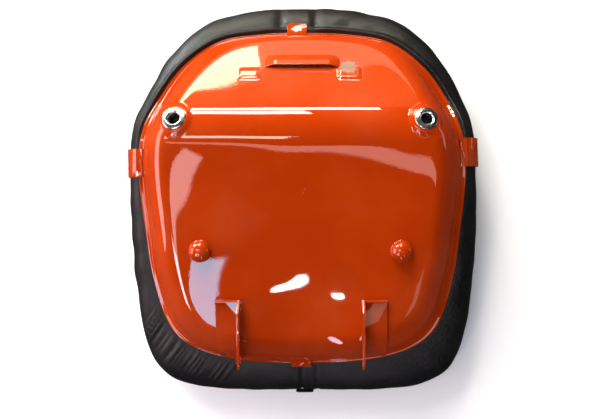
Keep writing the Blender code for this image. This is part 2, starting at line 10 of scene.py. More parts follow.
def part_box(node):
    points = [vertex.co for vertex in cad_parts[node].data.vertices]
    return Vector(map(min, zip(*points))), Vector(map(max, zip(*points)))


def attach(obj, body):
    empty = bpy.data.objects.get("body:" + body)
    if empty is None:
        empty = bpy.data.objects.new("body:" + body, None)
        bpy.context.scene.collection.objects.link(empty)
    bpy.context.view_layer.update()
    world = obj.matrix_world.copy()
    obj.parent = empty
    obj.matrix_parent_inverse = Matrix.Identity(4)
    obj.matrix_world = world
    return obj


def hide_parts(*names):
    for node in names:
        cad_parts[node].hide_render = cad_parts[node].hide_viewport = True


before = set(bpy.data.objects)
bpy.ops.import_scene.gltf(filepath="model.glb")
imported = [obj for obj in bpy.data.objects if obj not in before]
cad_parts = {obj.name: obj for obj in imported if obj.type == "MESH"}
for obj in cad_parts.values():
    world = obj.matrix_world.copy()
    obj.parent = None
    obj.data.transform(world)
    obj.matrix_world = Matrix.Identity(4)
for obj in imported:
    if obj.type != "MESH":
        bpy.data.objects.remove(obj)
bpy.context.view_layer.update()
print("frame loaded:", len(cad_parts), "nodes")

# An upholstered pan seat lying on its cushion: +Z out of the pan, +Y to the low back. Metres throughout.
seat = {
    "panWidth": 0.388, "panBack": 0.20485, "panFront": -0.19915, "sheet": 0.0016,
    "lip": 0.0028, "sideLip": 0.0058, "sideLipFrom": 0.12, "sideLipBlend": 0.05,
    "sideFlank": 0.042, "frontFlank": 0.040, "backFlank": 0.012,
    "sideDrop": 0.045, "backDrop": 0.006, "flankPower": 2.4, "backBlend": 0.100, "frontBlend": 0.080,
    "backAngle": math.radians(35), "seatAngle": math.radians(10),
    "bendRadius": 0.058, "bendFromBack": 0.1312, "rimHeight": 0.059,
    "sideOverhang": 0.0165, "frontOverhang": 0.039, "backOverhang": 0.0365,
    "rollDepth": 0.062, "rollInset": 0.014, "faceDepth": 0.060, "underLip": 0.0022,
}
# right half of the pan's and the roll's outlines, back to front, as shares of half width and half length
panOutline = [
    (0, 1), (0.25, 0.993), (0.53, 0.94), (0.758, 0.773), (0.897, 0.57), (0.98, 0.35), (1, 0.126),
    (0.973, -0.195), (0.937, -0.477), (0.845, -0.763), (0.675, -0.909), (0.387, -0.983), (0, -1),
]
rollOutline = [
    (0, 1), (0.294, 0.985), (0.579, 0.911), (0.795, 0.727), (0.926, 0.507), (0.986, 0.309),
    (1, 0.106), (1.006, -0.161), (0.992, -0.444), (0.933, -0.761), (0.788, -0.934), (0.5, -0.994), (0, -1),
]
halfWidth = seat["panWidth"] / 2
panMiddle = (seat["panBack"] + seat["panFront"]) / 2
bendY = seat["panBack"] - seat["bendFromBack"]


def smooth(x):
    x = np.clip(x, 0, 1)
    return x * x * (3 - 2 * x)


# A closed curve: each span between four outline points is their cubic, at an even run of steps.
def closedCurve(half, width, back, front, steps):
    right = np.array(half) * (width, (back - front) / 2) + (0, (back + front) / 2)
    loop = np.vstack([right, right[-2:0:-1] * (-1, 1)])
    s = (np.arange(steps) / steps)[None, :, None]
    a, b, c, d = (np.roll(loop, shift, 0)[:, None, :] for shift in (1, 0, -1, -2))
    curve = b + (c - a) * s / 2 + (2 * a - 5 * b + 4 * c - d) * s**2 / 2
    return (curve + (3 * b - a - 3 * c + d) * s**3 / 2).reshape(-1, 2)


# Height of the pan on its centre line below the crest: a straight seat, an arc, a straight low back.
def spine(y):
    radius, t = seat["bendRadius"], np.asarray(y, float) - bendY
    start, end = -radius * math.sin(seat["seatAngle"]), radius * math.sin(seat["backAngle"])
    arc = np.sqrt(np.maximum(radius**2 - t**2, 0)) - radius
    front = -radius * (1 - math.cos(seat["seatAngle"])) + (t - start) * math.tan(seat["seatAngle"])
    back = -radius * (1 - math.cos(seat["backAngle"])) - (t - end) * math.tan(seat["backAngle"])
    return np.where(t < start, front, np.where(t > end, back, arc))


crest = seat["rimHeight"] + seat["backDrop"] - float(spine(seat["panBack"]))
frontDrop = crest + float(spine(seat["panFront"])) - seat["rimHeight"]


# How far the pan turns down at its lip: the front's drop, rising to the sides', fading to the back's.
def drop(y):
    ahead = smooth((y - seat["panFront"]) / seat["frontBlend"])
    behind = smooth((seat["panBack"] - y) / seat["backBlend"])
    toSide = (seat["sideDrop"] - frontDrop) * ahead
    return frontDrop + toSide + (seat["backDrop"] - seat["sideDrop"]) * (1 - behind)


def rimHeight(y):
    return crest + spine(y) - drop(y)


def inward(outline):
    run = np.roll(outline, -1, 0) - np.roll(outline, 1, 0)
    square = np.column_stack([run[:, 1], -run[:, 0]])
    return square / np.linalg.norm(square, axis=1)[:, None]


def lipCurve(steps):
    return closedCurve(panOutline, halfWidth, seat["panBack"], seat["panFront"], steps)


def rollCurve(steps):
    width = halfWidth + seat["sideOverhang"]
    back, front = seat["panBack"] + seat["backOverhang"], seat["panFront"] - seat["frontOverhang"]
    return closedCurve(rollOutline, width, back, front, steps)


# Soft unevenness: a few crossing waves of the given length, from -1 to 1.
def ripples(x, y, length, seed):
    rng = np.random.default_rng(seed)
    total = np.zeros(np.broadcast(x, y).shape)
    for turn, phase, stretch in rng.uniform((0, 0, 0.7), (math.pi, math.tau, 1.4), (6, 3)):
        along = x * math.cos(turn) + y * math.sin(turn)
        total += np.sin(along * math.tau / (length * stretch) + phase)
    return total / 6


# Meshes from arrays:
# Four-sided faces between neighbouring rows and columns of a grid; either way round may close on itself.
def gridFaces(rows, columns, wrapRows=False, wrapColumns=False, first=0):
    i = np.arange(rows if wrapRows else rows - 1)[:, None]
    j = np.arange(columns if wrapColumns else columns - 1)[None, :]
    up, over = (i + 1) % rows, (j + 1) % columns
    corners = [i * columns + j, i * columns + over, up * columns + over, up * columns + j]
    return np.stack([np.broadcast_to(c, (len(i), j.shape[1])) for c in corners], -1).reshape(-1, 4) + first


def fanFaces(ring, pole):
    return np.column_stack([ring, np.roll(ring, -1), np.full(len(ring), pole)])


def solidFrom(name, points, faceSets, material, merge=0.0):
    mesh = bpy.data.meshes.new(name)
    mesh.from_pydata(points.tolist(), [], [face for faces in faceSets for face in faces.tolist()])
    mesh.validate()
    bm = bmesh.new()
    bm.from_mesh(mesh)
    if merge:
        bmesh.ops.remove_doubles(bm, verts=bm.verts, dist=merge)
    bmesh.ops.recalc_face_normals(bm, faces=bm.faces)
    bm.to_mesh(mesh)
    bm.free()
    mesh.shade_smooth()
    mesh.materials.append(material)
    piece = bpy.data.objects.new(name, mesh)
    bpy.context.scene.collection.objects.link(piece)
    return piece


# A profile of (radius, height) carried round an axis that stands at place; it may start and end on the axis.
def turned(name, profile, place, steps, material, closed):
    profile = np.array(profile)
    turn = np.arange(steps) * math.tau / steps
    radius, height = profile[:, 0][:, None], profile[:, 1][:, None]
    points = np.stack(
        [radius * np.cos(turn), radius * np.sin(turn), np.broadcast_to(height, (len(profile), steps))], -1
    ).reshape(-1, 3)
    points = points @ np.array(place.to_3x3()).T + np.array(place.translation)
    faces = gridFaces(len(profile), steps, closed, True)
    return solidFrom(name, points, [faces], material, merge=1e-6)


def applied(piece):
    evaluated = piece.evaluated_get(bpy.context.evaluated_depsgraph_get())
    mesh = bpy.data.meshes.new_from_object(evaluated)
    piece.modifiers.clear()
    piece.data = mesh
    return piece


# Shader groups:
def addNode(tree, kind, **settings):
    made = tree.nodes.new(kind)
    for label, value in settings.items():
        setattr(made, label, value)
    return made


def plug(tree, value, socket):
    if isinstance(value, bpy.types.NodeSocket):
        tree.links.new(value, socket)
    else:
        socket.default_value = value


def maths(tree, operation, a, b=0.0, c=0.0):
    made = addNode(tree, "ShaderNodeMath", operation=operation)
    for value, socket in zip((a, b, c), made.inputs):
        plug(tree, value, socket)
    return made.outputs[0]


def remap(tree, value, low, high, toLow=0.0, toHigh=1.0):
    made = addNode(tree, "ShaderNodeMapRange", interpolation_type="SMOOTHSTEP")
    labels = ("Value", "From Min", "From Max", "To Min", "To Max")
    for label, given in zip(labels, (value, low, high, toLow, toHigh)):
        plug(tree, given, made.inputs[label])
    return made.outputs["Result"]


def blendColor(tree, factor, a, b):
    made = addNode(tree, "ShaderNodeMix", data_type="RGBA")
    plug(tree, factor, made.inputs["Factor"])
    for value, label in ((a, "A"), (b, "B")):
        socket = [s for s in made.inputs if s.name == label and s.type == "RGBA"][0]
        plug(tree, value, socket)
    return [s for s in made.outputs if s.type == "RGBA"][0]


def newGroup(name, inputs, outputs):
    group = bpy.data.node_groups.new(name, "ShaderNodeTree")
    for label, kind, value in inputs:
        socket = group.interface.new_socket(name=label, in_out="INPUT", socket_type=kind)
        if value is not None:
            socket.default_value = value
    for label, kind in outputs:
        group.interface.new_socket(name=label, in_out="OUTPUT", socket_type=kind)
    return group, addNode(group, "NodeGroupInput"), addNode(group, "NodeGroupOutput")


def noise(tree, position, scale, detail=3.0, roughness=0.55):
    made = addNode(tree, "ShaderNodeTexNoise")
    for label, given in (("Vector", position), ("Scale", scale), ("Detail", detail), ("Roughness", roughness)):
        plug(tree, given, made.inputs[label])
    return made.outputs["Fac"]


vectorKind, floatKind = "NodeSocketVector", "NodeSocketFloat"


# Sprayed enamel: a fine orange peel on slower runs of uneven film, as a height.
def makeSprayPeel():
    group, start, end = newGroup(
        "sprayPeel", [("Position", vectorKind, None), ("Peel", floatKind, 420.0)], [("Height", floatKind)]
    )
    position = start.outputs["Position"]
    fine = noise(group, position, start.outputs["Peel"], 1.5)
    slow = noise(group, position, 38.0, 2.0)
    group.links.new(maths(group, "MULTIPLY_ADD", slow, 0.55, fine), end.inputs["Height"])
    return group


# Dust in soft patches and fine speckle, with long thin rub marks, as a mask.
def makeHandling():
    group, start, end = newGroup(
        "handlingMarks",
        [("Position", vectorKind, None), ("Patch", floatKind, 14.0), ("Amount", floatKind, 0.5)],
        [("Dust", floatKind), ("Scratch", floatKind)],
    )
    position = start.outputs["Position"]
    patch = remap(group, noise(group, position, start.outputs["Patch"], 4.0), 0.42, 0.75)
    speckle = remap(group, noise(group, position, 900.0, 2.0), 0.55, 0.78)
    speckled = maths(group, "MULTIPLY_ADD", speckle, 0.6, patch)
    dust = maths(group, "MULTIPLY", speckled, start.outputs["Amount"])
    stretch = addNode(group, "ShaderNodeMapping")
    group.links.new(position, stretch.inputs["Vector"])
    stretch.inputs["Rotation"].default_value = (0.1, 0.2, 0.7)
    stretch.inputs["Scale"].default_value = (14, 260, 60)
    streak = noise(group, stretch.outputs["Vector"], 3.0, 2.0)
    scratch = maths(group, "MULTIPLY", remap(group, streak, 0.66, 0.74), patch)
    group.links.new(dust, end.inputs["Dust"])
    group.links.new(scratch, end.inputs["Scratch"])
    return group


# Wear where an edge stands out, broken up by noise, as a mask.
def makeEdgeRub():
    group, start, end = newGroup(
        "edgeRub",
        [("Position", vectorKind, None), ("Reach", floatKind, 0.56), ("Break", floatKind, 160.0)],
        [("Rub", floatKind)],
    )
    sharp = remap(
        group, addNode(group, "ShaderNodeNewGeometry").outputs["Pointiness"], start.outputs["Reach"],
        maths(group, "ADD", start.outputs["Reach"], 0.07),
    )
    broken = remap(group, noise(group, start.outputs["Position"], start.outputs["Break"], 4.0), 0.42, 0.62)
    group.links.new(maths(group, "MULTIPLY", sharp, broken), end.inputs["Rub"])
    return group


# Embossed vinyl: rounded cells with creases between them over a finer pebble, as a height and a tone.
def makeVinylGrain():
    group, start, end = newGroup(
        "vinylGrain",
        [("Position", vectorKind, None), ("Cell", floatKind, 650.0)],
        [("Height", floatKind), ("Tone", floatKind)],
    )
    position = start.outputs["Position"]
    bend = addNode(group, "ShaderNodeVectorMath", operation="MULTIPLY_ADD")
    swirl = addNode(group, "ShaderNodeTexNoise")
    group.links.new(position, swirl.inputs["Vector"])
    swirl.inputs["Scale"].default_value = 140
    group.links.new(swirl.outputs["Color"], bend.inputs[0])
    bend.inputs[1].default_value = (0.0025, 0.0025, 0.0025)
    group.links.new(position, bend.inputs[2])
    cell = addNode(group, "ShaderNodeTexVoronoi", feature="DISTANCE_TO_EDGE")
    group.links.new(bend.outputs[0], cell.inputs["Vector"])
    group.links.new(start.outputs["Cell"], cell.inputs["Scale"])
    crease = remap(group, cell.outputs["Distance"], 0.0, 0.22)
    pebble = noise(group, position, 2600.0, 2.0)
    group.links.new(maths(group, "MULTIPLY_ADD", pebble, 0.3, crease), end.inputs["Height"])
    group.links.new(noise(group, position, 26.0, 4.0), end.inputs["Tone"])
    return group


sprayPeel, handling, edgeRub, vinylGrain = makeSprayPeel(), makeHandling(), makeEdgeRub(), makeVinylGrain()


# Materials:
def newMaterial(name, **fixed):
    made = bpy.data.materials.new(name)
    made.use_nodes = True
    tree = made.node_tree
    shader = tree.nodes["Principled BSDF"]
    for label, given in fixed.items():
        shader.inputs[label.replace("_", " ")].default_value = given
    return made, tree, shader, addNode(tree, "ShaderNodeTexCoord").outputs["Object"]


def useGroup(tree, group, position, **given):
    made = addNode(tree, "ShaderNodeGroup", node_tree=group)
    tree.links.new(position, made.inputs["Position"])
    for label, number in given.items():
        made.inputs[label].default_value = number
    return made.outputs


def bump(tree, shader, height, distance, strength=1.0):
    made = addNode(tree, "ShaderNodeBump")
    made.inputs["Distance"].default_value = distance
    made.inputs["Strength"].default_value = strength
    tree.links.new(height, made.inputs["Height"])
    tree.links.new(made.outputs["Normal"], shader.inputs["Normal"])


# The bare colour is the steel where edges are rubbed through, and also the colour of the painted grey
# reflection by the louvre.
enamelLook = {
    "color": (0.350, 0.029, 0.0010, 1), "deep": (0.310, 0.024, 0.0008, 1), "dust": (0.62, 0.36, 0.20, 1),
    "bareAndReflection": (0.20, 0.11, 0.07, 1), "roughness": 0.018, "gloss": 1.62,
}


def makeEnamel(name, rub, dustAmount, peel=420.0, greyReflectionSpot=None):
    made, tree, shader, position = newMaterial(name, IOR=enamelLook["gloss"])
    film = noise(tree, position, 9.0, 3.0)
    marks = useGroup(tree, handling, position, Patch=11.0, Amount=dustAmount)
    wearAndPaintedReflection = useGroup(tree, edgeRub, position, Reach=rub)["Rub"]
    color = blendColor(tree, remap(tree, film, 0.35, 0.65), enamelLook["deep"], enamelLook["color"])
    color = blendColor(tree, maths(tree, "MULTIPLY", marks["Dust"], 0.12), color, enamelLook["dust"])
    if greyReflectionSpot:  # a painted grey reflection at the louvre's right end, drawn like a rubbed-through spot: a broken patch round a point
        reach = addNode(tree, "ShaderNodeVectorMath", operation="DISTANCE")
        tree.links.new(position, reach.inputs[0])
        reach.inputs[1].default_value = greyReflectionSpot["middle"]
        raggedNoise = noise(tree, position, 230.0, 4.0)
        ragged = maths(tree, "MULTIPLY_ADD", raggedNoise, greyReflectionSpot["ragged"], reach.outputs["Value"])
        # Painted reflection: inside this spot the pan takes the bare colour, in place of the grey that the
        # hood's right end reflects.
        paintedReflectionSpot = remap(tree, ragged, greyReflectionSpot["radius"] * 1.25, greyReflectionSpot["radius"] * 0.8)
        wearAndPaintedReflection = maths(tree, "MAXIMUM", wearAndPaintedReflection, paintedReflectionSpot)
    color = blendColor(tree, wearAndPaintedReflection, color, enamelLook["bareAndReflection"])
    tree.links.new(color, shader.inputs["Base Color"])
    rough = maths(tree, "MULTIPLY_ADD", marks["Dust"], 0.02, enamelLook["roughness"])
    rough = maths(tree, "MULTIPLY_ADD", marks["Scratch"], 0.05, rough)
    tree.links.new(maths(tree, "MULTIPLY_ADD", wearAndPaintedReflection, 0.5, rough), shader.inputs["Roughness"])
    bump(tree, shader, useGroup(tree, sprayPeel, position, Peel=peel)["Height"], 0.000012, 0.6)
    return made


vinylLook = {
    "color": (0.0024, 0.0025, 0.0028, 1), "pale": (0.0065, 0.0068, 0.0075, 1), "dust": (0.06, 0.056, 0.05, 1),
    "roughness": 0.28,
}


def makeVinyl(name, cell, dustAmount, depth=0.00022):
    made, tree, shader, position = newMaterial(name, Specular_IOR_Level=0.45)
    grain = useGroup(tree, vinylGrain, position, Cell=cell)
    marks = useGroup(tree, handling, position, Patch=18.0, Amount=dustAmount)
    color = blendColor(tree, remap(tree, grain["Tone"], 0.3, 0.7), vinylLook["color"], vinylLook["pale"])
    color = blendColor(tree, maths(tree, "MULTIPLY", marks["Dust"], 0.12), color, vinylLook["dust"])
    tree.links.new(color, shader.inputs["Base Color"])
    rough = maths(tree, "MULTIPLY_ADD", grain["Tone"], 0.14, vinylLook["roughness"])
    tree.links.new(maths(tree, "MULTIPLY_ADD", marks["Dust"], 0.25, rough), shader.inputs["Roughness"])
    bump(tree, shader, grain["Height"], depth, 0.7)
    return made


def makePlated(name, color, roughness):
    made, tree, shader, position = newMaterial(name, Metallic=1.0)
    marks = useGroup(tree, handling, position, Patch=60.0, Amount=0.5)
    plating = blendColor(tree, maths(tree, "MULTIPLY", marks["Dust"], 0.6), color, (0.35, 0.31, 0.27, 1))
    tree.links.new(plating, shader.inputs["Base Color"])
    rough = maths(tree, "MULTIPLY_ADD", marks["Dust"], 0.3, roughness)
    tree.links.new(maths(tree, "MULTIPLY_ADD", marks["Scratch"], 0.2, rough), shader.inputs["Roughness"])
    bump(tree, shader, noise(tree, position, 700.0, 2.0), 0.00003)
    return made


# Drawn steel: long fine lines left by the die, with a little dark oxide.
def makeDrawnWire(name):
    made, tree, shader, position = newMaterial(name, Metallic=1.0)
    oxide = remap(tree, noise(tree, position, 55.0, 5.0), 0.45, 0.7)
    steel = blendColor(tree, oxide, (0.42, 0.41, 0.40, 1), (0.10, 0.06, 0.04, 1))
    tree.links.new(steel, shader.inputs["Base Color"])
    tree.links.new(maths(tree, "MULTIPLY_ADD", oxide, 0.35, 0.28), shader.inputs["Roughness"])
    bump(tree, shader, noise(tree, position, 1500.0, 2.0), 0.00003)
    return made


# Pressed hardboard: matted fibres, darker flecks and a fuzzy surface.
def makeHardboard(name):
    made, tree, shader, position = newMaterial(name)
    fibre = noise(tree, position, 240.0, 6.0, 0.7)
    fleck = remap(tree, noise(tree, position, 520.0, 2.0), 0.6, 0.7)
    brown = blendColor(tree, remap(tree, fibre, 0.35, 0.65), (0.13, 0.070, 0.036, 1), (0.25, 0.15, 0.085, 1))
    tree.links.new(blendColor(tree, fleck, brown, (0.05, 0.028, 0.016, 1)), shader.inputs["Base Color"])
    tree.links.new(maths(tree, "MULTIPLY_ADD", fibre, 0.25, 0.65), shader.inputs["Roughness"])
    bump(tree, shader, fibre, 0.0003)
    return made


# The spot given to the pan's enamel is a painted grey reflection at the right end of the louvre hood, not a
# scuff.
panPaint = makeEnamel(
    "panEnamel", 0.62, 0.25, greyReflectionSpot={"middle": (0.0545, 0.1560, 0.0985), "radius": 0.0155, "ragged": 0.012}
)
partPaint = makeEnamel("fittingEnamel", 0.60, 0.35, 520.0)
rollVinyl = makeVinyl("rollVinyl", 620.0, 0.22)
coverVinyl = makeVinyl("coverVinyl", 560.0, 0.12)
weltVinyl = makeVinyl("weltVinyl", 900.0, 0.10, 0.0001)
brightPlate = makePlated("brightPlate", (0.93, 0.93, 0.94, 1), 0.20)
zincPlate = makePlated("zincPlate", (0.60, 0.60, 0.58, 1), 0.28)
for node, look in (
    ("hem_wire", makeDrawnWire("drawnWire")), ("seat_board", makeHardboard("seatHardboard")),
    ("back_board", makeHardboard("backHardboard")),
    ("left_eyelet_washer", zincPlate), ("right_eyelet_washer", zincPlate),
):
    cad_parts[node].data.materials.clear()
    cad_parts[node].data.materials.append(look)
print("materials ready")


# The pressed pan:
panSheet = {
    "steps": 18, "flankRings": 38, "faceRings": 98, "edgeRound": 0.0006, "wave": 0.00022, "waveLength": 0.085,
    "landing": 0.0140, "landingBlend": 0.0065, "landingRise": 0.0006,
    "eyeletSpacing": 0.285, "eyeletFromBack": 0.1137, "eyeletFlange": 0.027, "eyeletHole": 0.0135,
    "underRingStep": 3,
}
lip = lipCurve(panSheet["steps"])


# Rings of the outer face from the lip inwards. The lip is flat and its edge is rounded; the flank climbs
# from the lip's foot as drop times (1 - share) to a power, taken off the spine; the face is the spine.
def panRings():
    rim = rimHeight(lip[:, 1])
    into = inward(lip)
    half, edge = seat["sheet"] / 2, panSheet["edgeRound"]
    rings = [(lip, rim - half), (lip, rim - edge)]
    for turn in (30, 60, 90):
        a = math.radians(turn)
        rings.append((lip + into * edge * (1 - math.cos(a)), rim - edge * (1 - math.sin(a))))
    sideways = smooth((np.abs(lip[:, 0]) - seat["sideLipFrom"]) / seat["sideLipBlend"])
    wide = (seat["lip"] + (seat["sideLip"] - seat["lip"]) * sideways)[:, None]
    rings += [(lip + into * (0.001 + (wide - 0.001) * share), rim) for share in np.linspace(0.1, 1, 5)]
    foot = lip + into * wide
    ahead = lip[:, 1] < panMiddle
    along = (lip[:, 1] - panMiddle) * 2 / (seat["panBack"] - seat["panFront"])
    faceFront, faceBack = seat["panFront"] + seat["frontFlank"], seat["panBack"] - seat["backFlank"]
    reach = np.where(ahead, panMiddle - faceFront, faceBack - panMiddle)
    face = np.column_stack([lip[:, 0] * (1 - seat["sideFlank"] / halfWidth), panMiddle + along * reach])
    full = drop(lip[:, 1])
    start = rim - (crest + spine(foot[:, 1]) - full)
    for share in np.linspace(0, 1, panSheet["flankRings"])[1:]:
        plane = foot + (face - foot) * share
        height = crest + spine(plane[:, 1]) - full * (1 - share) ** seat["flankPower"] + start * (1 - share)
        rings.append((plane, height))
    for share in np.linspace(0, 1, panSheet["faceRings"])[1:-1]:
        plane = face + ((0, panMiddle) - face) * share
        rings.append((plane, crest + spine(plane[:, 1])))
    return np.array([np.column_stack([plane, height]) for plane, height in rings])


def softened(rings, turns):
    for _ in range(turns):
        middle = (rings[8:-3] + 2 * rings[9:-2] + rings[10:-1]) / 4
        rings = np.concatenate([rings[:9], middle, rings[-2:]])
    return rings


def treeOf(points, rows, columns):
    quads = gridFaces(rows, columns, False, True)
    return BVHTree.FromPolygons(points.reshape(-1, 3).tolist(), quads.tolist())


def frameOn(tree, x, y, reach):
    hit = [tree.ray_cast(Vector((x + dx, y + dy, 1)), Vector((0, 0, -1)))[0] for dx, dy in
           ((0, 0), (reach, 0), (-reach, 0), (0, reach), (0, -reach))]
    normal = (hit[1] - hit[2]).cross(hit[3] - hit[4]).normalized()
    side = (Vector((1, 0, 0)) - normal * normal.x).normalized()
    turn = Matrix((side, normal.cross(side), normal)).transposed().to_4x4()
    return Matrix.Translation(hit[0]) @ turn


pressedMarks = {
    "pocket": (-0.061, 0.1475, 0.0115, 0.0062, 0.0013),  # middle x and y, half sizes, height
    "wedge": (0.0560, 0.1490, 0.0125, 0.0070, 0.0016),
    "crease": 0.0012,
    "soften": 16,
}


# Points near an eyelet settle onto its flat landing: their height over it fades to nothing inside it.
def settle(points, place):
    local = (points - np.array(place.translation)) @ np.array(place.to_3x3())
    away = np.hypot(local[..., 0], local[..., 1])
    keep = smooth((away - panSheet["landing"]) / panSheet["landingBlend"])
    near = np.abs(local[..., 2]) < 0.03
    local[..., 2] = np.where(near, local[..., 2] * keep, local[..., 2])
    return local @ np.array(place.to_3x3()).T + np.array(place.translation)


# A small raised mark: full height in a rounded rectangle, with steep walls a crease wide.
def pressMark(points, mark):
    x, y, halfX, halfY, height = mark
    inside = 1 - smooth((np.abs(points[..., 0] - x) - halfX) / pressedMarks["crease"] / 2 + 0.5)
    inside = inside * (1 - smooth((np.abs(points[..., 1] - y) - halfY) / pressedMarks["crease"] / 2 + 0.5))
    return inside * height


def gridNormals(rings):
    across = np.gradient(rings, axis=0)
    around = np.roll(rings, -1, 1) - np.roll(rings, 1, 1)
    normal = np.cross(around, across)
    return normal / np.maximum(np.linalg.norm(normal, axis=-1), 1e-12)[..., None]


def makePan():
    rings = softened(panRings(), pressedMarks["soften"])
    depth = np.arange(len(rings))[:, None]
    inner = smooth((depth - 12) / 24)  # the lip stays true
    wave = ripples(rings[..., 0], rings[..., 1], panSheet["waveLength"], 5) * panSheet["wave"]
    rings[..., 2] += wave * inner
    tree = treeOf(rings, *rings.shape[:2])
    places = {}
    for side, word in ((-1, "left"), (1, "right")):
        x, y = side * panSheet["eyeletSpacing"] / 2, seat["panBack"] - panSheet["eyeletFromBack"]
        place = frameOn(tree, x, y, panSheet["eyeletFlange"] / 2)
        places[word] = place @ Matrix.Translation((0, 0, panSheet["landingRise"]))
        rings = settle(rings, places[word])
    rings[..., 2] += pressMark(rings, pressedMarks["pocket"]) + pressMark(rings, pressedMarks["wedge"])
    normal = gridNormals(rings)
    normal[:8] = (0, 0, 1)
    normal *= np.sign(normal[..., 2:])
    under = rings - normal * seat["sheet"]
    under[0] = rings[0] - (0, 0, seat["sheet"] * 0.35)
    under[1:5] = rings[1:5] * (1, 1, 0) + (rings[1:5, :, 2:] - seat["sheet"] * 0.9) * (0, 0, 1)
    under = np.concatenate([under[:8], under[8 :: panSheet["underRingStep"]]])
    rows, columns = rings.shape[:2]
    middle = np.array([(0, panMiddle, crest + float(spine(panMiddle)))])
    count, lower = rows * columns, under.shape[0] * columns
    points = np.vstack([rings.reshape(-1, 3), under.reshape(-1, 3), middle, middle - (0, 0, seat["sheet"])])
    ends = [fanFaces(np.arange(count - columns, count), count + lower),
            fanFaces(np.arange(count + lower - columns, count + lower), count + lower + 1)]
    rim = np.stack([np.arange(columns), np.roll(np.arange(columns), -1),
                    np.roll(np.arange(columns), -1) + count, np.arange(columns) + count], -1)
    shells = [gridFaces(rows, columns, False, True), gridFaces(under.shape[0], columns, False, True, count)]
    pan = solidFrom("panShell", points, shells + ends + [rim], panPaint)
    return pan, tree, places


louvre = {
    "halfWidth": 0.046, "length": 0.024, "height": 0.0062, "fromBack": 0.0487, "wall": 0.0016, "sink": 0.0006,
    "endRound": 0.016, "columns": 121, "rows": 41,
}


# A hood over a slit. Height = rise times how far each point lies from the tail and from the ends, both eased;
# heights are taken square to the low back, whose face is the spine.
def makeHood():
    u = np.linspace(-1, 1, louvre["columns"])[None, :] * louvre["halfWidth"]
    v = np.linspace(0, 1, louvre["rows"])[:, None] * louvre["length"]
    tail = smooth((louvre["length"] - v) / (louvre["length"] * 0.75))
    ends = smooth((louvre["halfWidth"] - np.abs(u)) / louvre["endRound"]) ** 0.6
    rise = louvre["height"] * tail * ends - louvre["sink"]
    slope = np.array((0, math.cos(seat["backAngle"]), -math.sin(seat["backAngle"])))
    normal = np.array((0, math.sin(seat["backAngle"]), math.cos(seat["backAngle"])))
    y = seat["panBack"] - louvre["fromBack"]
    base = np.array((0, y, crest + float(spine(y))))
    place = base + u[..., None] * (1, 0, 0) + v[..., None] * slope
    top = place + rise[..., None] * normal
    low = place + (rise - louvre["wall"])[..., None] * normal
    rows, columns = top.shape[:2]
    count = rows * columns
    index = np.arange(count).reshape(rows, columns)
    edge = np.concatenate([index[0, :-1], index[:-1, -1], index[-1, :0:-1], index[:0:-1, 0]])
    rim = np.stack([edge, np.roll(edge, -1), np.roll(edge, -1) + count, edge + count], -1)
    points = np.vstack([top.reshape(-1, 3), low.reshape(-1, 3)])
    shells = [gridFaces(rows, columns), gridFaces(rows, columns, first=count)]
    return solidFrom("louvreHood", points, shells + [rim], panPaint)


# Cutters for the slit and the two eyelet holes, in one mesh.
def cutHoles(pan, places):
    bm = bmesh.new()
    for place in places.values():
        radius = panSheet["eyeletHole"] / 2 + 0.0012
        bmesh.ops.create_cone(
            bm, cap_ends=True, segments=48, radius1=radius, radius2=radius, depth=0.03, matrix=place
        )
    tilt = Matrix.Rotation(-seat["backAngle"], 4, "X")
    y = seat["panBack"] - louvre["fromBack"] + louvre["length"] * 0.22
    size = (louvre["halfWidth"] * 1.66, louvre["length"] * 0.42, 0.012)
    place = Matrix.Translation((0, y, crest + float(spine(y)))) @ tilt @ Matrix.Diagonal((*size, 1))
    bmesh.ops.create_cube(bm, size=1, matrix=place)
    mesh = bpy.data.meshes.new("panCutter")
    bm.to_mesh(mesh)
    bm.free()
    cutter = bpy.data.objects.new("panCutter", mesh)
    bpy.context.scene.collection.objects.link(cutter)
    cut = pan.modifiers.new("holes", "BOOLEAN")
    cut.operation, cut.solver, cut.object = "DIFFERENCE", "EXACT", cutter
    applied(pan)
    bpy.data.objects.remove(cutter)


panShell, panTree, eyeletPlaces = makePan()
cutHoles(panShell, eyeletPlaces)
hood = makeHood()
for piece in (panShell, hood):
    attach(piece, "root")
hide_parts("seat_pan")
print("pan pressed:", len(panShell.data.polygons), "faces")

# Eyelets, studs, brackets and tabs:
eyeletRing = {
    "barrelWall": 0.0007, "gap": 0.0003, "dish": 0.0048, "washer": 0.0008, "rimRound": 0.0012,
    "throatEase": 0.0002, "steps": 72,
}


